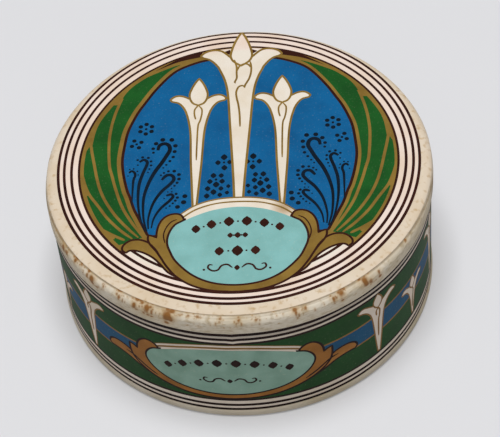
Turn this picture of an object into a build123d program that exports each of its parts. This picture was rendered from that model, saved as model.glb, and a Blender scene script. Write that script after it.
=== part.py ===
from build123d import *
import os

# Round card powder box: a deep slip lid that covers the inner box down to its plinth.
# Millimetres, +Z up. The origin is the centre of the underside, and -Y is the front.

# ---- Driving dimensions ------------------------------------------------------------
rim_radius = 40.0            # outside of the lid's rim where the top label laps it, the widest part
total_height = 32.4          # table to the face of the top label
foot_height = 2.0            # plinth, with its papers
foot_setback = 0.3           # the plinth's paper lies this far inside the rim
side_setback = 0.4           # the side label, at its lap, lies this far inside the rim
rim_depth = 4.2              # from the top label's face down to the rim's lower edge

paper = 0.15                 # every printed, ivory and white paper
lining_paper = 0.10          # thin lining inside the lid's wall
lid_wall = 1.15              # rolled card of the lid's wall
top_board_thickness = 1.6    # card disc that closes the lid
shoulder_radius = 1.5        # rounding of the top board's upper edge
base_board_edge = 0.4        # bevel of the plinth board's edges
inner_wall = 1.1             # rolled card of the inner box

slip_clearance = 0.3         # between the lid's lining and the inner box, all round
mouth_clearance = 0.45       # between the inner box's mouth and the lid's ceiling
label_edge_clearance = 0.05  # the side label stops this far from the plinth and the rim
skin_clearance = 0.1         # where one paper ends beside another

top_label_radius = 39.9      # the printed disc, cut a little large
top_label_shift = 1.54       # it was pasted this far towards the back
top_label_drop = 0.5         # how far it runs down the rim's side at the back
foot_paper_turn = 2.5        # width of the plinth paper turned under the board
label_lap = 6.0              # the side label's glued overlap, at the back
mouth_paper_turn = 6.0       # wall paper turned down inside the mouth

# A sheet that follows a 45 degree bevel has a bevel wider by this share of its thickness.
paper_round_bevel = 2 - 2 ** 0.5

# ---- Levels and radii that follow --------------------------------------------------
cap_paper_top = total_height - paper
board_top = cap_paper_top - paper
board_bottom = board_top - top_board_thickness
rim_bottom = total_height - rim_depth
ceiling = board_bottom - paper
base_board_top = foot_height - paper
mouth = ceiling - mouth_clearance
inner_wall_top = mouth - paper

foot_radius = rim_radius - foot_setback
side_radius = rim_radius - side_setback
board_radius = rim_radius - 2 * paper
cap_paper_radius = board_radius + paper
lid_wall_outer = side_radius - 2 * paper
lid_wall_inner = lid_wall_outer - lid_wall
lid_bore = lid_wall_inner - lining_paper
inner_paper_outer = lid_bore - slip_clearance
inner_wall_outer = inner_paper_outer - paper
inner_wall_inner = inner_wall_outer - inner_wall
inner_bore = inner_wall_inner - paper
base_board_radius = foot_radius - paper


def disc(radius, low, high):
    """A flat round sheet between two levels."""
    return Pos(0, 0, low) * Cylinder(radius, high - low, align=(Align.CENTER, Align.CENTER, Align.MIN))


def ring(inner, outer, low, high):
    """A straight tube wall between two levels."""
    return disc(outer, low, high) - disc(inner, low, high)


def domed_disc(radius, low, high, shoulder):
    """A disc whose upper edge is rounded."""
    blank = disc(radius, low, high)
    return fillet(blank.edges().group_by(Axis.Z)[-1], shoulder)


def bevelled_section(radius, height, bevel):
    """The upright section of a disc whose edges are bevelled, centred on the axis."""
    blank = Rectangle(2 * radius, height)
    return chamfer(blank.vertices(), bevel)


def lap(radius, low, high, width):
    """A second layer of paper over the joint at the back, on a wall of the given radius."""
    layer = ring(radius, radius + paper, low, high)
    window = Pos(0, radius, low) * Box(width, radius, high - low, align=(Align.CENTER, Align.CENTER, Align.MIN))
    return layer & window


# ---- Inner box: plinth, rolled wall and their papers -------------------------------
def make_base_board():
    """Plinth: a thick card disc that carries the inner box and stands out under the lid."""
    board = disc(base_board_radius, paper, base_board_top)
    edges = board.edges().filter_by(GeomType.CIRCLE)
    return chamfer(edges, base_board_edge)


def make_foot_paper():
    """Ivory paper round the plinth's edge, turned in over the top and under the board."""
    middle = foot_height / 2
    wrapped = bevelled_section(foot_radius, foot_height, base_board_edge + paper_round_bevel * paper)
    board = bevelled_section(base_board_radius, base_board_top - paper, base_board_edge)
    above = Pos(0, foot_height) * Rectangle(2 * (inner_paper_outer + skin_clearance), foot_height)
    below = Rectangle(2 * (foot_radius - foot_paper_turn), foot_height)
    right_side = Pos(foot_radius, middle) * Rectangle(2 * foot_paper_turn, foot_height)
    section = (Pos(0, middle) * (wrapped - board) - above - below) & right_side
    return revolve(Plane.XZ * section, Axis.Z)


def make_underside_paper():
    """White disc that closes the underside, inside the turned-in plinth paper."""
    return disc(foot_radius - foot_paper_turn - skin_clearance, 0, paper)


def make_inner_wall():
    """Rolled card wall of the inner box, glued to the plinth."""
    return ring(inner_wall_inner, inner_wall_outer, base_board_top, inner_wall_top)


def make_inner_wall_paper():
    """White paper over the inner wall, turned over the mouth and down inside it."""
    outside = ring(inner_wall_outer, inner_paper_outer, base_board_top, mouth)
    over_mouth = ring(inner_bore, inner_wall_outer, inner_wall_top, mouth)
    inside = ring(inner_bore, inner_wall_inner, inner_wall_top - mouth_paper_turn, inner_wall_top)
    return outside + over_mouth + inside


def make_floor_paper():
    """White paper disc on the floor of the inner box."""
    return disc(inner_wall_inner - skin_clearance, base_board_top, foot_height)


# ---- Lid: rolled wall, rim hoop, top board and their papers ------------------------
def make_lid_wall():
    """Rolled card wall of the lid; its lower edge rests on the plinth."""
    return ring(lid_wall_inner, lid_wall_outer, foot_height, board_bottom)


def make_lid_wall_lining():
    """White lining inside the lid's wall, which slides over the inner box."""
    return ring(lid_bore, lid_wall_inner, foot_height + skin_clearance, ceiling - skin_clearance)


def make_rim_hoop():
    """Card strip wound round the top of the lid's wall, which thickens the rim."""
    return ring(lid_wall_outer, board_radius, rim_bottom, board_bottom)


def make_top_board():
    """Card disc that closes the lid, with a pressed round shoulder."""
    return domed_disc(board_radius, board_bottom, board_top, shoulder_radius)


def make_cap_paper():
    """Ivory paper over the whole top board, its shoulder and the rim's side."""
    skin = domed_disc(cap_paper_radius, rim_bottom, cap_paper_top, shoulder_radius + paper)
    return skin - domed_disc(board_radius, rim_bottom, board_top, shoulder_radius)


def make_top_label():
    """Printed disc, pasted a little towards the back, so that it laps over the shoulder there."""
    lowest = board_top - shoulder_radius - top_label_drop
    skin = domed_disc(rim_radius, lowest, total_height, shoulder_radius + 2 * paper)
    skin -= domed_disc(cap_paper_radius, lowest, cap_paper_top, shoulder_radius + paper)
    sheet = Pos(0, top_label_shift, 0) * disc(top_label_radius, lowest, total_height)
    return skin & sheet


def make_ceiling_paper():
    """White paper disc under the top board, inside the lid's wall."""
    return disc(lid_bore, ceiling, board_bottom)


def make_side_label():
    """Printed strip round the lid's wall, with a glued lap at the back."""
    low = foot_height + label_edge_clearance
    high = rim_bottom - label_edge_clearance
    strip = ring(lid_wall_outer, lid_wall_outer + paper, low, high)
    return strip + lap(lid_wall_outer + paper, low, high, label_lap)


nodes = {
    "base_board": make_base_board,
    "foot_paper": make_foot_paper,
    "underside_paper": make_underside_paper,
    "inner_wall": make_inner_wall,
    "inner_wall_paper": make_inner_wall_paper,
    "floor_paper": make_floor_paper,
    "lid_wall": make_lid_wall,
    "lid_wall_lining": make_lid_wall_lining,
    "rim_hoop": make_rim_hoop,
    "top_board": make_top_board,
    "cap_paper": make_cap_paper,
    "top_label": make_top_label,
    "ceiling_paper": make_ceiling_paper,
    "side_label": make_side_label,
}

os.makedirs("parts", exist_ok=True)
for name, make in nodes.items():
    export_step(make(), f"parts/{name}.step")
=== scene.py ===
from functools import partial

import bmesh
import bpy
import numpy as np
from mathutils.geometry import delaunay_2d_cdt
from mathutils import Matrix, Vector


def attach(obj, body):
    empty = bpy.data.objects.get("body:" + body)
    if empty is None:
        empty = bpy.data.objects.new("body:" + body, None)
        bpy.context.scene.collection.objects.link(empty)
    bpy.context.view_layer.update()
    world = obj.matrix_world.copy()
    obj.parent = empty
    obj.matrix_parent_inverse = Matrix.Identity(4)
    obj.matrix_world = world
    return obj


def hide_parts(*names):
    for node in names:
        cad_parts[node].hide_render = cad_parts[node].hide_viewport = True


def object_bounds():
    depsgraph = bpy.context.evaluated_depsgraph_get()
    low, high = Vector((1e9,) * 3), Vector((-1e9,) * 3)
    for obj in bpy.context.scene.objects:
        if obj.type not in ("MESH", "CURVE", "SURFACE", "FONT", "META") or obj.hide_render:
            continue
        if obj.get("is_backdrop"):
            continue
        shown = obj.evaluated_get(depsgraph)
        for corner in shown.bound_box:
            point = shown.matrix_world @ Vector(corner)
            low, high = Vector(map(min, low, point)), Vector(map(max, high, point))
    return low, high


# A round card powder box, covered in printed and plain paper: a deep slip lid over an inner box.
# Metres in the frame; the drawing sizes below are millimetres and are turned to metres in the mesh.

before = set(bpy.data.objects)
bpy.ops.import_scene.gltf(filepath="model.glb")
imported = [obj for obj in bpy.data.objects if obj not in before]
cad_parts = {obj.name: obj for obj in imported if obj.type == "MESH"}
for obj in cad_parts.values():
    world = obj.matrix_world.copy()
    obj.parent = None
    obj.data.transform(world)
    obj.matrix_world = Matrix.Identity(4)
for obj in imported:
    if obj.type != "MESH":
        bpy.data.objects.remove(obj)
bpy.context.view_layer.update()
mm = 0.001

# ---- Table, camera and light -------------------------------------------------------
# The box stands on a plain pale sheet whose material glows a little: painted light that lifts the floor
# round the foot, so that the shadow there stays faint. One broad soft lamp hangs overhead, with a weak one
# in front and a pale room round.


def add(tree, kind, inputs={}, settings={}):
    """One shader node: its settings by name, then its sockets' values. A node given for a socket is linked
    from its first output that is in use, and a socket given is linked itself."""
    made = tree.nodes.new("ShaderNode" + kind)
    for name, value in settings.items():
        setattr(made, name, value)
    for name, value in inputs.items():
        if isinstance(value, bpy.types.Node):
            value = next(output for output in value.outputs if output.enabled)
        if isinstance(value, bpy.types.NodeSocket):
            tree.links.new(value, made.inputs[name])
        else:
            made.inputs[name].default_value = value
    return made


def colour(code):
    """Linear colour of an sRGB hex code: the curve is c/12.92 near black, else ((c + 0.055)/1.055)^2.4."""
    share = np.array([int(code[i : i + 2], 16) for i in (0, 2, 4)]) / 255
    linear = np.where(share <= 0.04045, share / 12.92, ((share + 0.055) / 1.055) ** 2.4)
    return (*linear.tolist(), 1.0)


rgba = {"data_type": "RGBA"}  # what a Mix node needs to blend two colours


def material(name):
    """An empty node material: itself, what adds a node to it, and the object coordinates for patterns."""
    made = bpy.data.materials.new(name)
    made.use_nodes = True
    made.node_tree.nodes.clear()
    node = partial(add, made.node_tree)
    return made, node, node("TexCoord").outputs["Object"]


def finished(made, look):
    """The material with its surface shader, whose sockets take the nodes and the values in look."""
    surface = add(made.node_tree, "BsdfPrincipled", look)
    add(made.node_tree, "OutputMaterial", {"Surface": surface})
    return made


def sheet_of_floor():
    """Matt white background paper: nearly even, with a very faint broad cloudiness, and a slight glow that
    is painted light, lifting the shadow round the foot.
    """
    made, node, place = material("matt_background_paper")
    cloud = node("TexNoise", {"Vector": place, "Scale": 9.0, "Detail": 2})
    tint = node("Mix", {0: cloud, 6: colour("C2C2C5"), 7: colour("C6C6C9")}, rgba)
    # Painted light: the sheet glows by itself, lifting the shadow round the box's foot.
    painted_glow = {"Emission Color": colour("FFFFFF"), "Emission Strength": 0.19}
    return finished(made, {"Base Color": tint, "Roughness": 0.7, **painted_glow})


half_side = 1.5
floor_mesh = bpy.data.meshes.new("floor_sheet")
floor_corners = [(x * half_side, y * half_side, 0) for x, y in ((-1, -1), (1, -1), (1, 1), (-1, 1))]
floor_mesh.from_pydata(floor_corners, [], [(0, 1, 2, 3)])
floor_sheet = bpy.data.objects.new("floor_sheet", floor_mesh)
bpy.context.scene.collection.objects.link(floor_sheet)
floor_mesh.materials.append(sheet_of_floor())
floor_sheet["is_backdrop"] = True

lens = bpy.data.cameras.new("camera")
lens.lens = 147.55
lens.sensor_width = 36
camera = bpy.data.objects.new("camera", lens)
camera.location = (0.02614, -0.27909, 0.34498)
camera.rotation_euler = np.radians((40.247, 3.769, 0.635))
bpy.context.scene.collection.objects.link(camera)
bpy.context.scene.camera = camera
bpy.context.scene.view_settings.view_transform = "Standard"

for name, size, watts, place, turn in (
    ("overhead_lamp", 0.5, 13.9, (0.0, -0.04, 1.30), (2, 0, 0)),
    ("front_lamp", 0.6, 0.5, (0.05, -0.95, 0.75), (51, 0, 3)),
):
    lamp = bpy.data.lights.new(name, "AREA")
    lamp.size = size
    lamp.energy = watts
    stand = bpy.data.objects.new(name, lamp)
    stand.location = place
    stand.rotation_euler = np.radians(turn)
    bpy.context.scene.collection.objects.link(stand)

room = bpy.data.worlds.new("room")
room.use_nodes = True
room.node_tree.nodes["Background"].inputs["Color"].default_value = colour("F2F3F6")
room.node_tree.nodes["Background"].inputs["Strength"].default_value = 0.2
bpy.context.scene.world = room

# ---- Card cores: plinth, both rolled walls, rim hoop and top board -----------------
# The cores are grey-brown strawboard, die-cut for the discs and rolled and glued for the walls.
# They show only at cut edges and inside the inner box, below the turned-in paper.

card_light, card_dark = "B5A688", "8F7F62"
card_fibre = 0.35


def strawboard():
    """Strawboard: dull, greyish straw colour, with short fibres and darker flecks of pulp."""
    made, node, place = material("grey_strawboard")
    pulp = node("TexNoise", {"Vector": place, "Scale": 1000 / 4, "Detail": 6})
    fleck = node("TexNoise", {"Vector": place, "Scale": 1000 / card_fibre, "Detail": 3, "Roughness": 0.7})
    specks = node("MapRange", {"Value": fleck, "From Min": 0.58, "From Max": 0.72})
    ground = node("Mix", {0: pulp, 6: colour(card_dark), 7: colour(card_light)}, rgba)
    flecked = node("Mix", {0: specks, 6: ground, 7: colour("6E5E45")}, rgba)
    relief = node("Bump", {"Height": fleck, "Strength": 0.4, "Distance": 0.00006})
    return finished(made, {"Base Color": flecked, "Normal": relief, "Roughness": 0.9})


def refinish(names, finish):
    """Parts whose CAD shape is right get their material, and the slot that it belongs to."""
    for name in names:
        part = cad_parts[name]
        part.data.materials.clear()
        part.data.materials.append(finish)


refinish(("base_board", "inner_wall", "lid_wall", "rim_hoop", "top_board"), strawboard())

# ---- Plain papers inside: floor, ceiling, underside, lid lining, inner wall --------
# Thin machine-made white paper, pasted flat on the card. It has yellowed a little with age.
# The CAD sheets keep their shape, and the finish gives the fibre, the faint cockling and the toning.
# Paper fibres are about 0.03 mm thick. On every paper here they are drawn 0.4 to 0.5 mm, so as to show.


def lining_paper(name, light, toned, spot_share, painted_shade_below=0.0):
    """Old uncoated paper: fine fibre, broad toning, and brown age spots where spot_share lets them through.
    Below the height given in millimetres by the last argument, painted shade darkens the edge that stands on
    the table, for the contact shadow under it."""
    made, node, place = material(name)
    fibre = node("TexNoise", {"Vector": place, "Scale": 1000 / 0.5, "Detail": 4, "Roughness": 0.65})
    cloud = node("TexNoise", {"Vector": place, "Scale": 1000 / 14, "Detail": 5})
    spots = node("TexNoise", {"Vector": place, "Scale": 1000 / 2.2, "Detail": 6})
    toning = node("MapRange", {"Value": cloud, "From Min": 0.35, "From Max": 0.7})
    spotted = node("MapRange", {"Value": spots, "From Min": 1 - spot_share, "From Max": 1.12 - spot_share})
    ground = node("Mix", {0: toning, 6: colour(light), 7: colour(toned)}, rgba)
    aged = node("Mix", {0: spotted, 6: ground, 7: colour("A98752")}, rgba)
    fine = node("Bump", {"Height": fibre, "Strength": 0.35, "Distance": 0.00004})
    cockle = node("Bump", {"Height": cloud, "Strength": 0.25, "Distance": 0.0006, "Normal": fine})
    # Painted shade: the paper darkens towards its bottom edge, for the contact shadow under the foot.
    if painted_shade_below:
        level = node("SeparateXYZ", {"Vector": place})
        shade_span = {"From Min": painted_shade_below * mm, "From Max": 0.0, "To Max": 0.8}
        low = node("MapRange", {"Value": level.outputs["Z"], **shade_span})
        aged = node("Mix", {0: low, 6: aged, 7: colour("54452F")}, rgba)
    return finished(made, {"Base Color": aged, "Normal": cockle, "Roughness": 0.8})


white_sheets = ("floor_paper", "ceiling_paper", "underside_paper", "lid_wall_lining", "inner_wall_paper")
refinish(white_sheets, lining_paper("yellowed_lining_paper", "EDE7D8", "DDD2B8", 0.3))

# ---- Plinth paper ------------------------------------------------------------------
# Ivory paper wrapped round the plinth's edge, turned in over its top and under the board.
# Pasted round a soft card edge, it has gently rounded folds and is not quite true.

foot_outer = 39.8
foot_top = 2.0
foot_inner_top = 37.85
foot_inner_under = 37.2
foot_sheet = 0.15
upper_round = 0.55
lower_round = 0.85
around = np.radians(np.arange(0, 360, 0.5))


def mesh_piece(name, points, faces):
    """A mesh object at the origin from points in millimetres and lists of corners; points that coincide,
    as at a pole, become one."""
    body = bpy.data.meshes.new(name)
    body.from_pydata((np.asarray(points) * mm).tolist(), [], np.asarray(faces).tolist())
    loose = bmesh.new()
    loose.from_mesh(body)
    bmesh.ops.remove_doubles(loose, verts=loose.verts, dist=1e-8)
    loose.to_mesh(body)
    loose.free()
    body.update()
    piece = bpy.data.objects.new(name, body)
    bpy.context.scene.collection.objects.link(piece)
    return piece


def closed_grid(name, points):
    """A mesh of points in rows k and columns j that both close on themselves. Where the rows run
    anticlockwise in the section, the quads (k, j), (k, j+1), (k+1, j+1), (k+1, j) face outwards."""
    rows, columns = points.shape[:2]
    k, j = np.meshgrid(np.arange(rows), np.arange(columns), indexing="ij")
    right, above = (j + 1) % columns, (k + 1) % rows
    corners = [k * columns + j, k * columns + right, above * columns + right, above * columns + j]
    piece = mesh_piece(name, points.reshape(-1, 3), np.stack(corners, -1).reshape(-1, 4))
    piece.data.shade_smooth()
    return piece


def turned(name, radius, level, angles):
    """A closed section turned round Z: point (k, j) is (radius cos a, radius sin a, level) at angle a_j.
    radius and level are arrays of section point k by angle j."""
    return closed_grid(name, np.stack([radius * np.cos(angles), radius * np.sin(angles), level], -1))


def ripple(angles, waves, seed):
    """A sum of sines round the box: amplitude / n, n waves round, phases from the seed. About -1 to 1."""
    turns = np.arange(2, waves)[:, None]
    phase = np.random.default_rng(seed).uniform(0, 2 * np.pi, (waves - 2, 1))
    total = np.sum(np.sin(turns * angles + phase) / turns, axis=0)
    return total / np.abs(total).max()


def arc(centre, radius, start, stop, steps):
    """Points of an arc: centre + radius (cos a, sin a), with the angle a from start to stop in degrees."""
    angle = np.radians(np.linspace(start, stop, steps))
    return np.stack([centre[0] + radius * np.cos(angle), centre[1] + radius * np.sin(angle)], -1)


low_centre = (foot_outer - lower_round, lower_round)
high_centre = (foot_outer - upper_round, foot_top - upper_round)
outer_edge = np.concatenate(
    [
        [[foot_inner_under, foot_sheet], [foot_inner_under, 0.0]],
        arc(low_centre, lower_round, -90, 0, 9),
        arc(high_centre, upper_round, 0, 90, 7),
        [[foot_inner_top, foot_top], [foot_inner_top, foot_top - foot_sheet]],
        arc(high_centre, upper_round - foot_sheet, 90, 0, 7),
        arc(low_centre, lower_round - foot_sheet, 0, -90, 9),
    ]
)
radius, level = np.repeat(outer_edge.T[:, :, None], around.size, 2)
radius = radius - 0.05 * (1 + ripple(around, 40, 3)) * (radius > foot_outer - 0.9)
foot_cover = turned("foot_cover", radius, level, around)
# Painted shade at the foot's lower edge: the paper darkens below 0.8 mm.
foot_cover.data.materials.append(lining_paper("ivory_cover_paper", "CDC2AF", "B8A98E", 0.34, 0.8))
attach(foot_cover, "box")
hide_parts("foot_paper")

# ---- Rim paper ---------------------------------------------------------------------
# One ivory sheet pressed over the top board, its shoulder and the rim's side. Handling has rubbed the
# shoulder, damp has left brown age spots along its front, and a crease runs where it was pressed. Its side
# is painted darker towards the lower edge as shade, and dark lines of dirt and painted shade run along the
# crease and the label's cut edge.

rim_outer = 39.85
rim_top = 32.25
rim_low = 28.2
shoulder = 1.65
rim_sheet = 0.15
rim_around = np.radians(np.arange(0, 360, 0.25))
outer_rows = 43  # points of the section on the paper's outer face
crease_at = 38.95
label_shift = 1.54  # how far back the top label is pasted
label_cut = 39.97  # where its cut edge lies on this paper, with a dark line of dirt and painted shade along it
sheet_radius = 39.5  # where lengths round the paper are measured
speck_count = 230

# Age spots along the front: where each lies on the box, seen from above, and its radius.
spots = np.array(
    [
        (-35.0, -19.0, 0.75), (-34.2, -20.4, 0.45), (-31.6, -22.5, 0.8), (-30.6, -24.0, 0.4),
        (-28.8, -27.5, 0.95), (-27.8, -28.9, 0.4), (-26.2, -29.6, 0.35), (-22.6, -31.2, 0.8),
        (-19.0, -33.4, 0.9), (-18.2, -34.4, 0.5), (-17.3, -35.3, 0.85), (-16.0, -34.7, 0.6),
        (-13.3, -37.3, 1.25), (-12.2, -36.6, 0.6), (-9.0, -37.0, 0.6), (-7.4, -38.2, 0.35),
        (-3.0, -38.9, 0.4), (0.6, -39.3, 0.45), (4.0, -39.2, 0.35), (11.5, -37.2, 0.7),
        (13.6, -36.8, 0.4), (19.0, -34.6, 0.5), (20.5, -33.4, 0.75), (25.2, -30.4, 0.95),
        (26.6, -29.9, 0.5), (28.5, -28.4, 0.6), (33.4, -20.6, 0.4),
    ]
)


def stain_field(x, y, z, spread):
    """How brown the paper is at each point: the greatest of soft discs exp(-(distance / size)^3) round each
    spot, its smaller neighbours, and specks scattered along the front. Distances are along the unrolled
    sheet, and sines pull the discs' edges about. spread widens every disc, for the halo round the brown."""
    scatter = np.random.default_rng(11)
    turn = np.radians(scatter.normal(-118, 30, speck_count))
    reach = scatter.uniform(38.2, 40.6, speck_count)
    size = scatter.uniform(0.06, 0.22, speck_count)
    small = np.stack([reach * np.cos(turn), reach * np.sin(turn), size], -1)
    near = np.repeat(spots, 6, 0)
    near[:, :2] += scatter.normal(0, 0.85, (len(near), 2)) * near[:, 2:]
    near[:, 2] *= scatter.uniform(0.25, 0.6, len(near))
    main = spots * (1, 1, 0.85)
    total = np.zeros_like(x)
    unrolled = np.hypot(x, y) + np.maximum(0, rim_top - shoulder - z)
    angle = np.arctan2(y, x)
    along_front = angle * sheet_radius
    wave = np.sin(3.1 * along_front + 1.7 * unrolled) * np.sin(3.7 * unrolled - 2.2 * along_front)
    for across, along, size in np.concatenate([main, near, small]):
        away_round = (angle - np.arctan2(along, across) + np.pi) % (2 * np.pi) - np.pi
        away_out = unrolled - np.hypot(across, along)
        distance = np.hypot(away_round * sheet_radius, away_out * 1.25) / (size * spread * (1 + 0.25 * wave))
        total = np.maximum(total, np.exp(-(distance**3)) * min(1.0, 0.5 + size))
    return total


outside = np.concatenate(
    [
        [[rim_outer - 0.15, rim_low], [rim_outer, rim_low]],
        np.stack([np.full(12, rim_outer), np.linspace(rim_low + 0.2, rim_top - shoulder, 12)], -1),
        arc((rim_outer - shoulder, rim_top - shoulder), shoulder, 6, 90, 16),
        np.stack([np.linspace(38.0, 35.6, 12), np.full(12, rim_top)], -1),
        [[20.0, rim_top], [0.0, rim_top], [0.0, rim_top - rim_sheet], [20.0, rim_top - rim_sheet]],
        arc((rim_outer - shoulder, rim_top - shoulder), shoulder - rim_sheet, 90, 0, 8),
    ]
)
radius, level = np.repeat(outside.T[:, :, None], rim_around.size, 2)
skin = (np.arange(len(outside)) < outer_rows)[:, None] & (radius > 36)
slack = 0.5 + 0.5 * ripple(rim_around, 60, 5)
waver = 0.5 + 0.5 * ripple(rim_around, 160, 9)
radius = radius - skin * 0.07 * slack - skin * 0.03 * waver
crease_path = crease_at + 0.18 * ripple(rim_around, 24, 8)
dent = np.exp(-(((radius - crease_path) / 0.16) ** 2)) * (level > rim_top - 1.2)
level = level - skin * 0.08 * dent * (0.4 + 0.6 * slack)
rim_cover = turned("rim_cover", radius, level, rim_around)
corner = np.zeros(len(rim_cover.data.vertices) * 3)
rim_cover.data.vertices.foreach_get("co", corner)
x, y, z = corner.reshape(-1, 3).T / mm
out = np.hypot(x, y)
turn = np.arctan2(y, x)
from_crease = out - crease_at - 0.18 * ripple(turn, 24, 8)
# Dark lines along the crease and just outside the label's cut edge: dirt, with painted shade of the fold and
# of the step at the label's edge.
crease_dirt_and_shade = np.exp(-((from_crease / 0.14) ** 2)) * (0.35 + 0.35 * ripple(turn, 90, 12)) * (z > rim_top - 1.3)
label_edge = np.abs(np.hypot(x, y - label_shift) - label_cut)
label_edge_dirt_and_shade = np.exp(-((label_edge / 0.16) ** 2)) * (0.75 + 0.25 * ripple(turn, 70, 4))
dark_lines_dirt_and_shade = np.clip(np.maximum(crease_dirt_and_shade, label_edge_dirt_and_shade), 0, 1)
down = np.maximum(0, rim_top - z)
stretched = np.stack([39.8 * np.cos(turn), 39.8 * np.sin(turn), 4.5 * (out - down * 1.2)], -1)
for name, kind, field, values in (
    ("age_spots", "FLOAT", "value", stain_field(x, y, z, 1.0)),
    ("spot_halo", "FLOAT", "value", stain_field(x, y, z, 1.9)),
    ("dark_lines_dirt_and_shade", "FLOAT", "value", dark_lines_dirt_and_shade),
    ("along_rim", "FLOAT_VECTOR", "vector", stretched),
):
    layer = rim_cover.data.attributes.new(name, kind, "POINT")
    layer.data.foreach_set(field, values.astype(np.float32).ravel())


def rim_paper():
    """Ivory cover paper, rubbed and soiled: mottled toning, grey dirt in the grain, brown age spots, painted
    shade on the lower side, and dark lines of dirt and painted shade.
    """
    made, node, place = material("rubbed_ivory_cover_paper")
    fibre = node("TexNoise", {"Vector": place, "Scale": 1000 / 0.45, "Detail": 5, "Roughness": 0.65})
    cloud = node("TexNoise", {"Vector": place, "Scale": 1000 / 7, "Detail": 6})
    mottle = node("TexNoise", {"Vector": place, "Scale": 1000 / 1.4, "Detail": 5})
    stretch = node("Attribute", settings={"attribute_name": "along_rim"})
    wrinkles = node(
        "TexNoise", {"Vector": stretch.outputs["Vector"], "Scale": 0.55, "Detail": 4, "Distortion": 0.6}
    )
    cloudy = node("MapRange", {"Value": cloud, "From Min": 0.36, "From Max": 0.66})
    soiled = node("MapRange", {"Value": mottle, "From Min": 0.5, "From Max": 0.72, "To Max": 0.5})
    spot = node("Attribute", settings={"attribute_name": "age_spots"})
    ragged = node("Math", {0: mottle, 1: 1.1, 2: -0.35}, {"operation": "MULTIPLY_ADD"})
    brown_share = node(
        "Math", {0: spot.outputs["Fac"], 1: 1.15}, {"operation": "MULTIPLY", "use_clamp": True}
    )
    core = node("Math", {0: brown_share, 1: ragged}, {"operation": "ADD", "use_clamp": True})
    share = node("Math", {0: brown_share, 1: core}, {"operation": "MULTIPLY", "use_clamp": True})
    ground = node("Mix", {0: cloudy, 6: colour("E3D8C4"), 7: colour("CFBFA2")}, rgba)
    dirty = node("Mix", {0: soiled, 6: ground, 7: colour("B8A27E")}, rgba)
    # Painted shade: the rim's side darkens towards its lower edge, from 31.2 mm down to the rim's foot.
    level = node("SeparateXYZ", {"Vector": place})
    shade_span = {"From Min": 31.2 * mm, "From Max": rim_low * mm, "To Max": 0.3}
    lower = node("MapRange", {"Value": level.outputs["Z"], **shade_span})
    shaded_towards_bottom = node("Mix", {0: lower, 6: dirty, 7: colour("AC9C7E")}, rgba)
    wrinkle_share = node("MapRange", {"Value": wrinkles, "From Min": 0.52, "From Max": 0.66, "To Max": 0.55})
    wrinkled = node("Mix", {0: wrinkle_share, 6: shaded_towards_bottom, 7: colour("A8926C")}, rgba)
    # Dark lines of dirt and painted shade along the crease and the label's edge, colour 7E6440.
    dark_line_share = node("Attribute", settings={"attribute_name": "dark_lines_dirt_and_shade"})
    lined = node("Mix", {0: dark_line_share.outputs["Fac"], 6: wrinkled, 7: colour("7E6440")}, rgba)
    halo = node("Attribute", settings={"attribute_name": "spot_halo"})
    halo_share = node("MapRange", {"Value": halo.outputs["Fac"], "To Max": 0.5})
    damp = node("Mix", {0: halo_share, 6: lined, 7: colour("C9A670")}, rgba)
    foxed = node("Mix", {0: share, 6: damp, 7: colour("8F5E24")}, rgba)
    fine = node("Bump", {"Height": fibre, "Strength": 0.4, "Distance": 0.00005})
    broad = node("Bump", {"Height": mottle, "Strength": 0.35, "Distance": 0.00015, "Normal": fine})
    drawn = node("Bump", {"Height": wrinkles, "Strength": 0.6, "Distance": 0.0003, "Normal": broad})
    return finished(made, {"Base Color": foxed, "Normal": drawn, "Roughness": 0.72})


rim_cover.data.materials.append(rim_paper())
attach(rim_cover, "lid")
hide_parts("cap_paper")

# ---- Printed top label: the sheet --------------------------------------------------
# A die-cut disc of smooth paper, pasted a little towards the back, so that it laps the shoulder there.
# Its margin has yellowed; inside the ring lines the paper is a faint pink, and cream under the lilies.

label_radius = 39.9
flat_radius = 38.2
lap_radius = 1.8
lap_top = 32.4


def on_lid(x, y, height):
    """Label points (x, y) laid on the lid: flat within 38.2 mm of the axis, then round the shoulder by arc
    length, angle = (distance - 38.2) / 1.8, and straight down past a quarter turn. height lifts them off."""
    y = y + label_shift
    reach = np.maximum(np.hypot(x, y), 1e-9)
    past = np.maximum(reach - flat_radius, 0)
    turn = np.minimum(past / lap_radius, np.pi / 2)
    down = past - turn * lap_radius
    out = np.minimum(reach, flat_radius) + (lap_radius + height) * np.sin(turn)
    level = lap_top - lap_radius + (lap_radius + height) * np.cos(turn) - down
    level = np.where(past > 0, level, lap_top + height)
    return np.stack([x / reach * out, y / reach * out, level], -1)


spread = np.concatenate([[0.0], np.linspace(2, 36, 18), np.linspace(36.2, label_radius, 24)])
label_around = np.radians(np.arange(0, 360, 0.75))
flat_x = spread[:, None] * np.cos(label_around)
flat_y = spread[:, None] * np.sin(label_around)
face = on_lid(flat_x.ravel(), flat_y.ravel(), -0.03).reshape(spread.size, label_around.size, 3)
back = on_lid(flat_x.ravel(), flat_y.ravel(), -0.14).reshape(spread.size, label_around.size, 3)
label_sheet = closed_grid("label_sheet", np.concatenate([face[::-1], back]))


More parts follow.
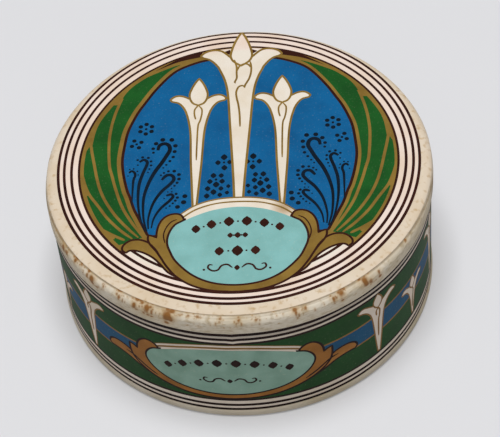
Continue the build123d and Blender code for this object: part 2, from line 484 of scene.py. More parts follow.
def top_label_paper():
    """Calendered label paper: cream in the middle, faint pink between the ring lines, ivory margin."""
    made, node, place = material("calendered_label_paper")
    centred = node("Mapping", {"Vector": place, "Location": (0, -label_shift * mm, 0)})
    split = node("SeparateXYZ", {"Vector": centred})
    flat = node("CombineXYZ", {"X": split.outputs["X"], "Y": split.outputs["Y"]})
    reach = node("VectorMath", {0: flat}, {"operation": "LENGTH"})
    middle = node("MapRange", {"Value": reach, "From Min": 31.6 * mm, "From Max": 32.4 * mm})
    margin = node("MapRange", {"Value": reach, "From Min": 37.0 * mm, "From Max": 37.5 * mm})
    fibre = node("TexNoise", {"Vector": place, "Scale": 1000 / 0.45, "Detail": 5, "Roughness": 0.65})
    cloud = node("TexNoise", {"Vector": place, "Scale": 1000 / 6, "Detail": 6})
    cloudy = node("MapRange", {"Value": cloud, "From Min": 0.4, "From Max": 0.75, "To Max": 0.55})
    pink = node("Mix", {0: middle, 6: colour("EAE0D1"), 7: colour("EDDACD")}, rgba)
    ivory = node("Mix", {0: margin, 6: pink, 7: colour("DFCFB9")}, rgba)
    toned = node("Mix", {0: cloudy, 6: ivory, 7: colour("EBDDC2")}, {**rgba, "blend_type": "MULTIPLY"})
    drop = node("VectorMath", {0: centred}, {"operation": "DISTANCE"})
    drop.inputs[1].default_value = (9.4 * mm, -13.2 * mm, lap_top * mm)
    damp = node("MapRange", {"Value": drop, "From Min": 3.0 * mm, "From Max": 0.6 * mm, "To Max": 0.75})
    stained = node("Mix", {0: damp, 6: toned, 7: colour("A88450")}, rgba)
    mottle = node("TexNoise", {"Vector": place, "Scale": 1000 / 1.3, "Detail": 6})
    specks = node("MapRange", {"Value": mottle, "From Min": 0.54, "From Max": 0.74, "To Max": 0.75})
    on_margin = node("Math", {0: specks, 1: margin}, {"operation": "MULTIPLY"})
    foxed = node("Mix", {0: on_margin, 6: stained, 7: colour("B8955E")}, rgba)
    fine = node("Bump", {"Height": fibre, "Strength": 0.25, "Distance": 0.00004})
    return finished(made, {"Base Color": foxed, "Normal": fine, "Roughness": 0.6})


label_sheet.data.materials.append(top_label_paper())
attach(label_sheet, "lid")
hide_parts("top_label")

# ---- Printed top label: the drawing ------------------------------------------------
# Flat lithographed inks: a blue oval with three cream lilies and black fern scrolls, green leaves at
# its sides, a pale teal cartouche held by gold scrolls, and four dark ring lines round the edge.


def curve(points, step=0.35, before=None, after=None):
    """A smooth line through the points: Catmull-Rom, each span cut so that no step is over about 0.35 mm.

    before and after are points past the ends, which set the slope there; without them the ends run straight.
    """
    points = np.asarray(points, float)
    before = 2 * points[0] - points[1] if before is None else before
    after = 2 * points[-1] - points[-2] if after is None else after
    padded = np.concatenate([[before], points, [after]])
    length = np.hypot(*np.diff(points, axis=0).T)
    counts = np.maximum(1, np.ceil(length / step).astype(int))
    span = np.repeat(np.arange(len(counts)), counts)
    t = ((np.arange(counts.sum()) - np.repeat(np.cumsum(counts) - counts, counts)) / counts[span])[:, None]
    a, b, c, d = (padded[span + i] for i in range(4))
    bent = 0.5 * (2 * b + (c - a) * t + (2 * a - 5 * b + 4 * c - d) * t**2 + (3 * b - a - 3 * c + d) * t**3)
    return np.concatenate([bent, points[-1:]])


def sideways(line):
    """The unit normals of a line, to its left: its direction turned a quarter turn."""
    along = np.gradient(line, axis=0)
    along /= np.maximum(np.hypot(*along.T), 1e-9)[:, None]
    return np.stack([-along[:, 1], along[:, 0]], -1)


def stroke(points, width, ends=(0.5, 0.5), rise=5.0):
    """A pen line: its centre line widened by half the width each way. The width's share is ends[0] + rise t
    at the start and ends[1] + 5 (1 - t) at the end, up to 1."""
    line = curve(points)
    t = np.linspace(0, 1, len(line))
    swell = np.minimum(1, np.minimum(ends[0] + rise * t, ends[1] + 5 * (1 - t)))
    half = sideways(line) * (width / 2 * swell)[:, None]
    return np.concatenate([line - half, (line + half)[::-1]])


def loop(points):
    """A smooth closed outline through the points."""
    points = np.asarray(points, float)
    ends = np.concatenate([points, points[:1]])
    return curve(ends, before=points[-1], after=points[1])[:-1]


def disc(x, y, radius, count=0):
    """A circle of points round (x, y)."""
    angle = np.linspace(0, 2 * np.pi, count or max(10, int(radius * 9)), endpoint=False)
    return np.stack([x + radius * np.cos(angle), y + radius * np.sin(angle)], -1)


def other_side(shape, about=0.0):
    """A shape mirrored in the upright line x = about."""
    return np.stack([2 * about - shape[:, 0], shape[:, 1]], -1)


def anticlockwise(shape):
    """The shape with its points in anticlockwise order, judged by its signed area."""
    x, y = shape.T
    return shape if np.sum(x * np.roll(y, -1) - np.roll(x, -1) * y) > 0 else shape[::-1]


def grown(outline, amount):
    """An outline, turned anticlockwise, and moved outwards by an amount along its normals."""
    outline = anticlockwise(outline)
    ahead, behind = np.roll(outline, -1, 0), np.roll(outline, 1, 0)
    along = ahead - behind
    along /= np.maximum(np.hypot(*along.T), 1e-9)[:, None]
    return outline + amount * np.stack([along[:, 1], -along[:, 0]], -1)


lid_art = []


def lay(layers, ink, *shapes):
    """Adds closed shapes of one ink on top of what is there; ink None leaves bare paper."""
    for shape in shapes:
        layers.append((ink, anticlockwise(np.asarray(shape, float))))


def both(layers, ink, *shapes, about=0.0):
    """The shapes and their mirror images."""
    for shape in shapes:
        lay(layers, ink, shape, other_side(shape, about))


axis_x = 0.2


def pair(ink, *shapes):
    """Shapes of the lid's drawing and their mirror images. Its middle is a little off centre."""
    both(lid_art, ink, *shapes, about=axis_x / 2)


# Ring lines, a little heavier at the front, and the gold disc that edges the medallion.
for radius in (37.15, 35.9, 34.4, 32.8):
    circle = disc(0, 0, radius, 300)
    heavier = 0.25 + 0.08 * (1 - circle[:, 1:] / radius) / 2
    lay(lid_art, "dark", circle * (1 + heavier / radius))
    lay(lid_art, None, circle * (1 - heavier / radius))
lay(lid_art, "dark", stroke(arc((0, 0), 31.05, 222, 318, 120), 0.6, (1, 1)))
lay(lid_art, "gold", arc((0, 0), 32.6, -44.6, 224.6, 260))

# Green leaves at both sides, with gold veins that spread from their foot.
oval_half = curve(
    [
        (0, 29.3), (4, 29.3), (7.5, 28.9), (10.2, 28), (13.1, 26.5), (15.2, 24.5), (17.95, 20.6),
        (19.95, 17), (21.2, 14.6), (22.3, 11.8), (23.2, 8.8), (23.7, 5), (23.95, 1), (23.5, -3), (22.6, -7),
        (21.9, -9), (21, -12), (20, -14.3), (18.9, -16.8), (17.8, -19.3),
    ],
    0.5,
)
oval = np.concatenate([oval_half, other_side(oval_half)[-1:0:-1]]) + (axis_x, 0)
leaf_outer = arc((0, 0), 31.85, 112.5, 222.5, 150)
leaf_inner = other_side(oval_half + sideways(oval_half) * 1.15)[::-1]
leaf_inner = leaf_inner[leaf_inner[:, 1] < 28.2]
pair("green", np.concatenate([leaf_outer, leaf_inner]))
veins = [
    [(-18.8, -19.7), (-19.7, -18.2), (-21.8, -14.7), (-23.5, -11.2), (-25, -6.5), (-25.9, -3), (-26.6, 0),
     (-27, 6.2), (-26.75, 10.6), (-26.2, 14), (-25.6, 16.4), (-25.2, 17.8), (-24.9, 18.8)],
    [(-19.7, -19.7), (-21.8, -17.4), (-24.4, -14.1), (-26.8, -10), (-28.2, -6.5), (-29.1, -3), (-29.7, 0),
     (-30.35, 3.2), (-30.7, 5.2), (-31, 6.6)],
    [(-20.9, -20), (-23.5, -17.6), (-26.2, -14.4), (-28.2, -11.2), (-30.3, -7.9), (-31.8, -4.6)],
    [(-22.4, -20.3), (-24.8, -18.9), (-27.2, -17.3)],
]
for vein in veins:
    pair("gold", stroke(vein, 0.62, (0.5, 1)))


def sliver(start, stop, *edges):
    """A gold sliver of the border: its inner edges, each a smooth line, and back along the arc of 32.2 mm
    from the angle stop to the angle start, in degrees."""
    return np.concatenate([curve(edge) for edge in edges] + [arc((0, 0), 32.2, stop, start, 60)])


pair(
    "gold",
    sliver(
        172,
        111.5,
        [(-31.5, 4.3), (-31.1, 5.2)],
        [(-30.5, 5.2), (-30.3, 7), (-30.05, 9), (-29.7, 10.6), (-29.2, 12.1), (-28.3, 14), (-27.4, 15.6),
         (-26.6, 16.9)],
        [(-25.6, 16.9), (-25, 18.3), (-24.4, 19.7), (-23.5, 21.2), (-22.4, 22.5), (-21.2, 23.6),
         (-19.8, 24.75), (-18.3, 25.6), (-17, 26.3), (-15.5, 27.05), (-14, 27.75), (-12.6, 28.2),
         (-11.2, 28.5)],
    ),
    sliver(
        184.5,
        195.5,
        [(-31.8, -2.4), (-31.3, -4.3), (-30.75, -6), (-30.2, -7.4), (-29.9, -8.1)],
        [(-30.7, -8.2), (-31.1, -8.6)],
    ),
    sliver(
        211.5,
        218.6,
        [(-27.3, -16.8), (-26.2, -17.7), (-25.2, -18.3), (-24.3, -19.2)],
        [(-24.5, -19.9), (-25.1, -20.1)],
    ),
)
both(lid_art, "dark", stroke([(-18, 26.6), (-14, 29), (-11, 30.2), (-8, 31)], 1.3, (0.02, 1), 1.2))

# Blue oval with its dark outline.
lay(lid_art, "dark", grown(oval, 0.5))
lay(lid_art, "blue", grown(oval, -0.1))

# Fern scrolls: five hooked stalks each side, with rows of dots round their curls.
ferns = [
    [(-21.4, -11.2), (-21.45, -7.5), (-21.4, -4.4), (-21.1, -3.2), (-21.3, -2.3), (-21.9, -1.9),
     (-22.4, -2.4)],
    [(-18.5, -18.2), (-19.6, -14.4), (-20.2, -10.3), (-20.2, -5.9), (-19.6, -2.9), (-18.9, -0.6),
     (-18.8, 0.5), (-19.5, 1.1), (-20.4, 0.5)],
    [(-18.1, -18.2), (-18.9, -14.6), (-19.1, -9.7), (-18.4, -5.9), (-17.2, -2.6), (-15.7, 0.2), (-14.8, 2.1),
     (-14.2, 3.6), (-14.5, 4.9), (-15.4, 5.4), (-16.4, 4.9), (-16.7, 3.6)],
    [(-17.8, -17.6), (-17.9, -14.7), (-17.1, -10.9), (-15.6, -7.9), (-13.9, -5.9), (-13.1, -4.6),
     (-13.5, -3.5), (-14.6, -3.4), (-15.6, -4.6)],
    [(-17.2, -17.4), (-16.8, -14.9), (-15.6, -12.4), (-13.8, -10.3), (-13.1, -9.2), (-13.5, -8.6),
     (-14.5, -8.9)],
]
for line, width in zip(ferns, (0.5, 0.62, 0.78, 0.68, 0.6)):
    pair("navy", stroke(line, width * 1.12, (0.4, 0.7), 1))
dots = [
    (-17.6, 3, 0.26), (-17.7, 4.1, 0.34), (-17.15, 5.5, 0.42), (-15.8, 6.5, 0.46), (-13.9, 6.4, 0.46),
    (-13.1, 4.7, 0.42), (-13.2, 3.1, 0.38), (-13.45, 1.6, 0.32), (-14.1, 0.5, 0.28), (-14.8, -0.5, 0.22),
    (-15.4, -1.3, 0.18), (-20.8, 1.1, 0.24), (-19.8, 1.8, 0.28), (-18.6, 1.6, 0.28), (-18, 0.6, 0.26),
    (-17.95, -0.5, 0.24), (-18.25, -1.5, 0.2), (-18.5, -2.4, 0.16), (-20.7, -0.3, 0.18), (-22.3, -1.4, 0.16),
    (-21.5, -1.3, 0.18), (-20.7, -2, 0.18), (-20.5, -3, 0.16), (-22.6, -3.2, 0.14), (-15.8, -3.3, 0.2),
    (-15.2, -2.7, 0.22), (-14.3, -2.3, 0.26), (-13.1, -2.3, 0.34), (-12.1, -3.3, 0.36), (-12.05, -4.5, 0.34),
    (-12.4, -5.5, 0.28), (-12.9, -6.3, 0.22), (-13.5, -7, 0.16), (-14.2, -7.9, 0.14), (-13.4, -7.9, 0.16),
    (-12.5, -8.5, 0.28), (-12.2, -9.5, 0.3), (-12.6, -10.3, 0.26), (-13.1, -11, 0.22), (-13.7, -11.7, 0.2),
    (-14.4, -12.2, 0.16), (-10.7, -9.2, 0.46), (-10.9, -10.8, 0.48), (-12.1, -12, 0.44), (-14.9, -9.6, 0.14),
]
for x, y, size in dots:
    pair("navy", disc(x, y, size * 1.18))
for centre_x, centre_y, count, size, around_at in ((-19.4, 9.7, 6, 0.5, 1.35), (-21.2, 5.5, 4, 0.48, 1.1)):
    for turn in np.arange(count) * 2 * np.pi / count + 0.5:
        petal = disc(centre_x + around_at * np.cos(turn), centre_y + around_at * np.sin(turn), size)
        pair("navy", petal)
    pair("navy", disc(centre_x, centre_y, 0.3))

# Small lozenges between the stems: a cross above a loose cluster.
diamond = [(0, 1), (-0.55, 0.55), (-0.85, 0), (-0.55, -0.55), (0, -1), (0.55, -0.55), (0.85, 0),
           (0.55, 0.55)]
diamond = np.array(diamond)
lozenges = [
    (3.1, 1.05, 0.8), (3, -1.85, 0.72), (1.95, -0.35, 0.6), (4.35, -0.4, 0.66), (3.1, -0.4, 0.3),
    (3.6, -3.95, 0.62), (5.2, -3.9, 0.7), (3.4, -5.5, 0.66), (5.9, -5.5, 0.66), (4.6, -6.35, 0.78),
    (2.1, -6.9, 0.52), (3.6, -7.45, 0.6), (6.3, -7.4, 0.68), (2.35, -8.6, 0.52), (5.1, -8.35, 0.74),
    (3.8, -9.15, 0.58), (6.45, -9.35, 0.68), (4.65, -5, 0.34),
]
for x, y, size in lozenges:
    pair("navy", diamond * (size * 1.08) + (x, y))

# Lilies: a bud between two curled petals on a long tapering stem, bare paper edged with gold.


def lily(layers, x, stem, petal_low, petal_high, bud, lines, edge, width):
    """One lily about the upright line x: half outlines are mirrored, edged in gold, and left bare inside."""
    half = np.concatenate([curve(stem), curve(petal_low), curve(petal_high)])
    flower = np.concatenate([half, other_side(half)[::-1]]) + (x, 0)
    bloom = curve(bud)
    bloom = np.concatenate([bloom, other_side(bloom)[-2:0:-1]]) + (x, 0)
    lay(layers, "gold", grown(flower, edge / 2))
    lay(layers, "gold", grown(bloom, edge / 2))
    lay(layers, None, grown(flower, -edge / 2))
    lay(layers, "gold", grown(bloom, edge / 2))
    lay(layers, None, grown(bloom, -edge / 2))
    for line in lines:
        lay(layers, "gold", stroke(np.asarray(line) + (x, 0), width, (0.6, 0.6)))


for x in (-8.65, 9.05):
    lily(
        lid_art,
        x,
        [(0.35, -12.6), (0.75, -6), (1.1, 0), (1.4, 7.6), (1.9, 11.5), (2.55, 14.2)],
        [(2.55, 14.2), (3.2, 15.6), (4.2, 16.8), (5.6, 17.3), (5.9, 17.9)],
        [(5.9, 17.9), (5.2, 18.6), (4.2, 18.9), (3, 18.6), (2, 18), (1.2, 17.5)],
        [(0, 23.8), (0.75, 22.6), (1.45, 21), (1.9, 19.3), (1.75, 17.8), (1.1, 16.6), (0, 16)],
        [
            [(0, 16), (0.75, 14.9), (0.8, 13.4), (0.5, 11.6), (0.1, 10), (0, 5), (0, 0.5)],
            [(0, 16), (-0.7, 14.8), (-0.75, 13.4), (-0.45, 12)],
        ],
        0.46,
        0.36,
    )
# Bare paper between the ring lines and the middle lily's petals, with a dark wedge at each side of its bud.
crown = arc((0, 0), 32.5, 75.2, 104.6, 40)
lay(lid_art, None, np.concatenate([crown, [(-7.9, 30.9), (-2, 28.8), (2.3, 28.8), (8.2, 30.9)]]))
pair("dark", np.array([(2.2, 30.4), (3.7, 31.5), (2.4, 32.1)]))
lily(
    lid_art,
    0.25,
    [(0.85, -11.5), (1.1, -6), (1.45, 0), (2.1, 10), (2.5, 16.5), (2.9, 20.5), (3.6, 23.6), (4.85, 26.9)],
    [(4.85, 26.9), (5.9, 28.4), (7, 29.4), (8.2, 29.9), (8.7, 30.5)],
    [(8.7, 30.5), (8, 31.35), (6.8, 31.95), (5.4, 32.1), (4.2, 31.7), (3.2, 30.8), (2.4, 29.9), (1.5, 29.2)],
    [(0, 37.3), (0.75, 35.9), (1.5, 34), (2.05, 32), (2.3, 30.2), (1.9, 28.9), (1.1, 28), (0, 27.2)],
    [
        [(1.9, 28.4), (2.15, 26.8), (2.1, 25), (1.7, 23.2), (0.9, 21.4), (0.8, 20.6)],
        [(-1.5, 29), (-1, 27), (-0.95, 25), (-0.9, 23.6), (-1.3, 22.4), (-1.1, 22.1)],
        [(-0.95, 25.6), (-0.4, 27), (0.6, 27.7), (1.5, 27.5), (2.1, 26.6)],
        [(0.9, 20.8), (0.3, 21.3), (-0.5, 20.9), (-0.95, 19.4), (-0.8, 17.6), (-0.45, 15.8), (-0.15, 13),
         (0, 9.5)],
    ],
    0.5,
    0.42,
)

# Cartouche: a teal oval under a white band ruled in gold, held by gold scrolls and horns.
band_top = [(-12.4, -14.6), (-8.8, -11.8), (-4.7, -10.35), (0, -9.95), (4.7, -10.35), (8.8, -11.8),
            (12.4, -14.6)]
lay(lid_art, "gold", np.concatenate([curve(band_top) + (axis_x, 0.15), [(13, -20), (-13, -20)]]))
lay(lid_art, None, np.concatenate([curve(band_top) + (axis_x, -0.2), [(13, -20), (-13, -20)]]))
lay(lid_art, "gold", stroke(np.asarray(band_top) * (0.985, 1) + (axis_x, -1.15), 0.36, (1, 1)))
teal_half = np.array(
    [(5, -12.95), (9, -14.5), (11.4, -15.9), (12.6, -16.7), (13.5, -18.2), (14, -20), (14, -21.6),
     (13.5, -23.3), (12.1, -26.2), (8.8, -29.7), (4.8, -31.8)]
)
teal_oval = np.concatenate([[(0, -12.3)], teal_half, [(0, -32.5)], other_side(teal_half)[::-1]])
teal_oval = loop(teal_oval) + (axis_x, 0)
horn = np.concatenate(
    [
        curve([(17.2, -21.6), (18.4, -20.8), (19.6, -20.35), (21, -20.35), (22.1, -20.9), (22.9, -21.9),
               (22.9, -22.9), (22.2, -23.5)]),
        curve([(22.2, -23.5), (21.5, -23), (20.4, -23), (19.2, -23.4), (17.9, -24.1), (16.4, -25.3),
               (15, -27), (13.4, -29), (11, -30.6)]),
        [(12, -26.5), (14.6, -23.2)],
    ]
)
collar = np.concatenate(
    [
        curve([(-1.5, -34.1), (0, -34.15), (4.7, -33.75), (8.8, -32.3), (12, -29.9), (14, -27.2),
               (15.2, -25), (16.2, -23.3), (17.4, -21.6), (17.9, -20.4), (17.9, -19.2)]),
        curve([(17.9, -19.2), (17, -19.5), (16.25, -19.95)])[1:],
        curve([(16.25, -19.95), (16.2, -18.4), (15.9, -16.7), (15.2, -15.2), (14.1, -14.2), (12.8, -13.85),
               (11.7, -14.1), (11.1, -14.9), (10.85, -15.8)])[1:],
        [(-1.5, -24)],
    ]
)
for scroll in (horn, collar):
    pair("dark", grown(scroll, 0.27))
    pair("gold", grown(scroll, -0.19))
lay(lid_art, "dark", grown(teal_oval, 0.26))
band_low = curve([(-10.5, -14.55), (-8.5, -13.1), (-4.7, -11.65), (0, -11.3), (4.7, -11.65), (8.5, -13.1),
                  (10.5, -14.55)])
lay(lid_art, None, np.concatenate([band_low, [(10.45, -15.5), (-10.45, -15.5)]]) + (axis_x, 0))
lay(lid_art, "teal", grown(teal_oval, -0.2))
pair(
    "dark",
    stroke([(12.3, -15.3), (13.4, -15.9), (14.2, -17), (14.7, -18.3), (14.85, -19.6), (14.5, -21.4)], 0.28),
    stroke([(17.3, -21.6), (16.3, -22.9), (15.7, -24), (15, -25.4)], 0.34, (1, 0.3)),
)

# Plain ornament in the cartouche: an arched row of lozenges, a short row, and a wavy sprig with dots.
sprig = np.array([(0, 0), (0.9, 0.75), (1.9, 0.5), (2.5, -0.4), (3.4, -0.55), (4.2, 0.1), (4, 0.8),
                  (3.4, 0.7)])


def ornament(layers, rows, line, scale):
    """Rows of lozenges at (x, y, half height), a dot between neighbours, and two mirrored sprigs."""
    for row in rows:
        for x, y, size in row:
            lay(layers, "dark", diamond * size + (x, y))
        for (x0, y0, _), (x1, y1, _) in zip(row, row[1:]):
            lay(layers, "dark", disc((x0 + x1) / 2, (y0 + y1) / 2, 0.22, 12))
    for side in (-1, 1):
        bent = sprig * (side * scale, scale) + (line[0] + side * 0.9, line[1])
        lay(layers, "dark", stroke(bent, 0.42))
        lay(layers, "dark", disc(line[0] + side * (0.9 + 4.9 * scale), line[1] - 0.3, 0.26, 12))
    lay(layers, "dark", diamond * 0.7 + line)


ornament(
    lid_art,
    [
        [(-8.2, -18, 1.1), (-5.1, -16.9, 1.2), (-1.6, -16.3, 1.3), (2, -16.3, 1.3), (5.5, -16.9, 1.2),
         (8.6, -18, 1.1)],
        [(-1.3, -19.9, 0.7), (0.2, -19.9, 0.8), (1.7, -19.9, 0.7)],
        [(-3.4, -23.9, 1.15), (0.2, -23.9, 1.4), (3.8, -23.9, 1.15)],
    ],
    (0.2, -28.2),
    1.15,
)


def inside(shape, x, y):
    """Which points lie in a closed shape: those that its outline winds round. An edge that crosses a
    point's level going up, with the point on its left, adds a turn; going down, on its right, takes one."""
    turns = np.zeros(x.size, int)
    for (x0, y0), (x1, y1) in zip(shape, np.roll(shape, -1, 0)):
        left = (x1 - x0) * (y - y0) - (x - x0) * (y1 - y0)
        turns += (y0 <= y) & (y < y1) & (left > 0)
        turns -= (y1 <= y) & (y < y0) & (left < 0)
    return turns != 0


def cut_inks(layers, rules):
    """Cuts overlapping shapes into triangles that each belong to the topmost shape over them.

    The shapes' edges and the extra rules are constraints of one Delaunay triangulation, so that no
    triangle crosses an edge. The last shape laid over a triangle's middle then gives its ink.
    """
    points = [shape for _, shape in layers] + rules
    edges, start = [], 0
    for number, shape in enumerate(points):
        first = np.arange(start, start + len(shape))
        second = np.roll(first, -1)
        closed = number < len(layers)
        edges += np.stack([first, second], -1)[: len(shape) - (not closed)].tolist()
        start += len(shape)
    found = delaunay_2d_cdt(np.concatenate(points).tolist(), edges, [], 0, 1e-4, False)
    corners, triangles = np.array(found[0]), np.array(found[2])
    middle = corners[triangles].mean(1)
    owner = np.full(len(triangles), -1)
    for number, (_, shape) in enumerate(layers):
        low, high = shape.min(0), shape.max(0)
        near = np.flatnonzero(np.all((middle > low) & (middle < high), axis=1))
        owner[near[inside(shape, *middle[near].T)]] = number
    inks = {}
    for ink in {ink for ink, _ in layers if ink}:
        numbers = [number for number, (name, _) in enumerate(layers) if name == ink]
        inks[ink] = triangles[np.isin(owner, numbers)]
    return corners, inks


def press(name, corners, triangles, placed, thickness):
    """One ink as a thin skin: the triangles' own corners only, laid on the box, then given its thickness."""
    used, numbers = np.unique(triangles, return_inverse=True)
    piece = mesh_piece(name, placed(corners[used, 0], corners[used, 1]), numbers.reshape(-1, 3))
    skin = piece.modifiers.new("ink_body", "SOLIDIFY")
    skin.thickness = thickness * mm
    skin.offset = -1
    return piece


def litho_ink(name, code, worn, rough, show_paper):
    """Flat lithographic ink on label paper: a little uneven, with paper grain breaking through as specks."""
    made, node, place = material(name)
    grain = node("TexNoise", {"Vector": place, "Scale": 1000 / 0.4, "Detail": 4, "Roughness": 0.6})
    cloud = node("TexNoise", {"Vector": place, "Scale": 1000 / 5, "Detail": 6})
    uneven = node("MapRange", {"Value": cloud, "From Min": 0.35, "From Max": 0.7})
    broken = node("MapRange", {"Value": grain, "From Min": 0.60, "From Max": 0.74, "To Max": show_paper})
    ground = node("Mix", {0: uneven, 6: colour(code), 7: colour(worn)}, rgba)
    speckled = node("Mix", {0: broken, 6: ground, 7: colour("D8CBB2")}, rgba)
    fine = node("Bump", {"Height": grain, "Strength": 0.2, "Distance": 0.00003})
    dull = {"Roughness": rough, "Specular IOR Level": 0.1}
    return finished(made, {"Base Color": speckled, "Normal": fine, **dull})


# Extra cuts where the label bends over the shoulder, so that the ink bends with it.
shoulder_rules = [arc((0, -label_shift), radius, 20, 160, 200) for radius in np.arange(38.25, 40.3, 0.25)]
lid_corners, lid_inks = cut_inks(lid_art, shoulder_rules)
ink_finish = {
    "dark": litho_ink("near_black_brown_litho_ink", "2B0E06", "3A170C", 0.6, 0.05),
    "navy": litho_ink("black_over_blue_litho_ink", "03101C", "061A2C", 0.6, 0.03),
    "gold": litho_ink("ochre_gold_litho_ink", "8F7132", "785C26", 0.6, 0.12),
    "green": litho_ink("deep_green_litho_ink", "19581F", "144A1A", 0.6, 0.12),
    "blue": litho_ink("strong_blue_litho_ink", "0A6095", "085486", 0.6, 0.14),
    "teal": litho_ink("pale_teal_litho_ink", "86BCB9", "7AADA8", 0.62, 0.3),
}
for ink in ink_finish:
    piece = press(f"lid_print_{ink}", lid_corners, lid_inks[ink], lambda x, y: on_lid(x, y, 0.0), 0.03)
    piece.data.materials.append(ink_finish[ink])
    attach(piece, "lid")

# ---- Printed side label: the sheet -------------------------------------------------
# A printed strip wound once round the lid's wall and lapped 6 mm at the back.
# Its ends are cut square, and the overlap stands up by the thickness of the paper.

strip_inner = 39.3
strip_outer = 39.42
strip_low = 2.05
strip_high = 28.15
print_radius = 39.45
front = np.radians(-93.6)  # where the middle of the cartouche comes
strip_around = np.radians(np.arange(0, 360, 0.75))


def lap(angle):
    """How far the strip stands off the wall: 0.13 mm within 3 mm of the middle of the back, else none."""
    from_back = np.abs((angle - np.pi / 2 + np.pi) % (2 * np.pi) - np.pi) * print_radius
    return 0.13 * (from_back < 3.0)


rise = np.linspace(strip_low, strip_high, 8)
section = np.stack([np.repeat((strip_outer, strip_inner), 8), np.concatenate([rise, rise[::-1]])])
radius, level = np.repeat(section[:, :, None], strip_around.size, 2)
radius = radius + lap(strip_around) * (radius > strip_inner + 0.05)
side_sheet = turned("side_sheet", radius, level, strip_around)
side_sheet.data.materials.append(lining_paper("side_label_paper", "E6D8C8", "D6C6B2", 0.22))
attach(side_sheet, "lid")
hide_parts("side_label")

# ---- Printed side label: the drawing -----------------------------------------------
# The lid's inks, each painted darker and greyer here as painted shade on the upright wall, and one browner
# gold: dark rules at both edges, a green ground with a blue stripe edged in gold, lilies standing in it, and
# a wide teal cartouche at the front under a white band.

side_art = []
reach = np.pi * print_radius - 0.02


def rule_line(low, high, kinks=(0, 0)):
    """A line right round the strip. kinks dip its lower and upper edge at the front, where the print
    slipped: a narrow bell kink * exp(-((x - 1.4) / 0.8)^2), with a broad low rise to its right."""
    x = np.linspace(-reach, reach, 331)
    edges = []
    for level, kink in zip((low, high), kinks):
        dip = -kink * np.exp(-(((x - 1.4) / 0.8) ** 2))
        rise = 0.28 * np.exp(-(((x - 26) / 7) ** 2)) * (kink > 0)
        edges.append(np.stack([x, level + dip + rise], -1))
    return np.concatenate([edges[0], edges[1][::-1]])


for low, high, kink in (
    (26.85, 27.65, 0.15), (25.4, 26.15, 0.2), (23.95, 24.72, 0.25), (5.2, 5.9, 0), (3.42, 4.15, 0),
    (2.07, 2.68, 0),
):
    lay(side_art, "dark", rule_line(low, high, (kink, kink)))
lay(side_art, "green", rule_line(5.8, 24.1, (0, 0.25)))
lay(side_art, "gold", rule_line(12.2, 18.3))
lay(side_art, "blue", rule_line(12.65, 17.85))

tall_lily = (
    [(0.35, 6), (0.7, 9), (1.1, 13), (1.6, 17.4), (2.1, 19.4)],
    [(2.1, 19.4), (2.9, 20.6), (3.9, 21.4), (5, 21.8), (5.3, 22.3)],
    [(5.3, 22.3), (4.5, 22.9), (3.5, 22.9), (2.4, 22.3), (1.5, 21.8), (0.8, 21.4)],
    [(0, 24.5), (0.6, 23.8), (1.15, 22.8), (1.2, 21.8), (0.7, 20.8), (0, 20.2)],
    [
        [(0, 20.2), (0.5, 19.2), (0.4, 17.6), (0.1, 16), (0, 11)],
        [(0, 20.2), (-0.5, 19.2), (-0.4, 18)],
    ],
    0.34,
    0.4,
)
short_lily = (
    [(0.3, 6), (0.6, 8.6), (0.95, 11), (1.5, 13.4)],
    [(1.5, 13.4), (2.2, 14.6), (3.1, 15.3), (4.1, 15.6), (4.3, 16.1)],
    [(4.3, 16.1), (3.5, 16.6), (2.6, 16.5), (1.8, 16), (1.2, 15.6), (0.6, 15.3)],
    [(0, 18.2), (0.55, 17.4), (1.05, 16.4), (1.05, 15.6), (0.6, 14.8), (0, 14.3)],
    [[(0, 14.3), (0.4, 13.4), (0.3, 12.2), (0.05, 11), (0, 8)]],
    0.32,
    0.36,
)
for nearest, kind_of_lily in ((33, tall_lily), (45, short_lily)):
    for x in range(nearest, 118, 24):
        lily(side_art, -x, *kind_of_lily)
        lily(side_art, x, *kind_of_lily)

# Cartouche at the front: a gold-ruled white arch, gold scrolls and horns, and the teal oval between them.
side_arch = curve([(-19.5, 16.4), (-15.2, 20.5), (-9, 22.9), (-4, 23.85), (0, 23.95), (4, 23.85), (9, 22.9),
                   (15.2, 20.5), (19.5, 16.4)])
for ink, drop in (("gold", 0), (None, 0.22), ("gold", 0.8), (None, 1.32)):
    lay(side_art, ink, np.concatenate([side_arch - (0, drop), [(15, 12), (-15, 12)]]))
side_teal_half = np.array(
    [(5, 22.2), (10, 21), (14, 19.3), (15.8, 18.5), (17, 17.2), (17.6, 15.6), (17.3, 13.9), (16, 12),
     (13.6, 10.2), (10, 8.7), (5, 7.7)]
)
side_teal = np.concatenate([[(0, 22.45)], side_teal_half, [(0, 7.4)], other_side(side_teal_half)[::-1]])
side_teal = loop(side_teal)
side_collar = np.concatenate(
    [
        curve([(-1.5, 6.05), (0, 6), (5, 6.25), (10, 7), (15, 8.6), (18.6, 10.6), (20.6, 12.6), (21.3, 14.6),
               (21.4, 17)]),
        curve([(21.4, 17), (20.4, 16.8), (19.6, 16.3)])[1:],
        curve([(19.6, 16.3), (19.3, 18.2), (18.6, 19.6), (17.4, 20.6), (16.2, 20.7), (15, 20.1),
               (14.2, 18.9)])[1:],
        [(-1.5, 14)],
    ]
)
side_horn = np.concatenate(
    [
        curve([(20.4, 13.6), (22.2, 14.8), (24, 15.2), (25.6, 15), (26.8, 14.2), (27.2, 13.1),
               (26.7, 12.4)]),
        curve([(26.7, 12.4), (25.5, 12.5), (24, 12.4), (22, 11.9), (20, 10.9), (17.5, 9.7), (14.5, 8.4)]),
        [(15, 11), (18.5, 12.6)],
    ]
)
for scroll in (side_horn, side_collar):
    both(side_art, "dark", grown(scroll, 0.3))
    both(side_art, "brown_gold", grown(scroll, -0.2))
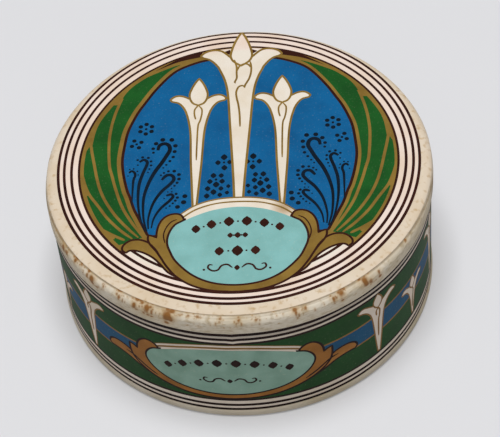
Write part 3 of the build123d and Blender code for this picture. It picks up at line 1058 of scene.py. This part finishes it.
crease_of_horn = [(22.8, 13.6), (20.9, 13.2), (19.4, 12.2), (17.6, 10.9), (15.4, 9.6)]
both(side_art, "dark", stroke(crease_of_horn, 0.46, (0.3, 0.4)))
lay(side_art, "dark", grown(side_teal, 0.22))
side_band = side_arch[np.abs(side_arch[:, 0]) < 13.8] - (0, 1.32)
lay(side_art, None, np.concatenate([side_band, [(13.8, 19), (-13.8, 19)]]))
lay(side_art, "teal", grown(side_teal, -0.22))
ornament(
    side_art,
    [
        [(-12.6, 14.8, 1.1), (-9.4, 16.4, 1.2), (-5.9, 17.4, 1.25), (-2.2, 17.9, 1.3), (1.6, 17.9, 1.3),
         (5.3, 17.4, 1.25), (8.9, 16.4, 1.2), (12.2, 14.8, 1.1)],
    ],
    (0, 12),
    1.05,
)

# Upright cuts all round, so that the ink bends with the wall.
cut_ends = strip_low + 0.01, strip_high - 0.01
side_rules = [np.array([(x, y) for y in cut_ends]) for x in np.arange(-123.3, 123.4, 1.37)]
side_corners, side_inks = cut_inks(side_art, side_rules)


def on_side(x, y):
    """Strip points (x round, y up) laid on the wall: angle = front + x / radius, further out on the lap."""
    angle = front + x / print_radius
    out = print_radius + lap(angle)
    return np.stack([out * np.cos(angle), out * np.sin(angle), y], -1)


# Painted shade: these are the lid's inks darkened and greyed for the wall, which the overhead lamp leaves in
# shade. The browner gold is an ink of its own.
shaded_side_inks = {
    "dark": litho_ink("side_near_black_litho_ink_painted_shade", "1A0703", "281009", 0.6, 0.05),
    "gold": litho_ink("side_ochre_litho_ink_painted_shade", "8E6A38", "7C592B", 0.6, 0.15),
    "brown_gold": litho_ink("side_brown_gold_litho_ink", "A36C30", "885823", 0.6, 0.12),
    "green": litho_ink("side_green_litho_ink_painted_shade", "1A471B", "153C16", 0.6, 0.1),
    "blue": litho_ink("side_blue_litho_ink_painted_shade", "155072", "124868", 0.6, 0.14),
    "teal": litho_ink("side_teal_litho_ink_painted_shade", "8EAF9E", "7A9B89", 0.62, 0.28),
}
for ink in shaded_side_inks:
    piece = press(f"side_print_{ink}", side_corners, side_inks[ink], on_side, 0.02)
    piece.data.materials.append(shaded_side_inks[ink])
    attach(piece, "lid")

low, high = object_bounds()
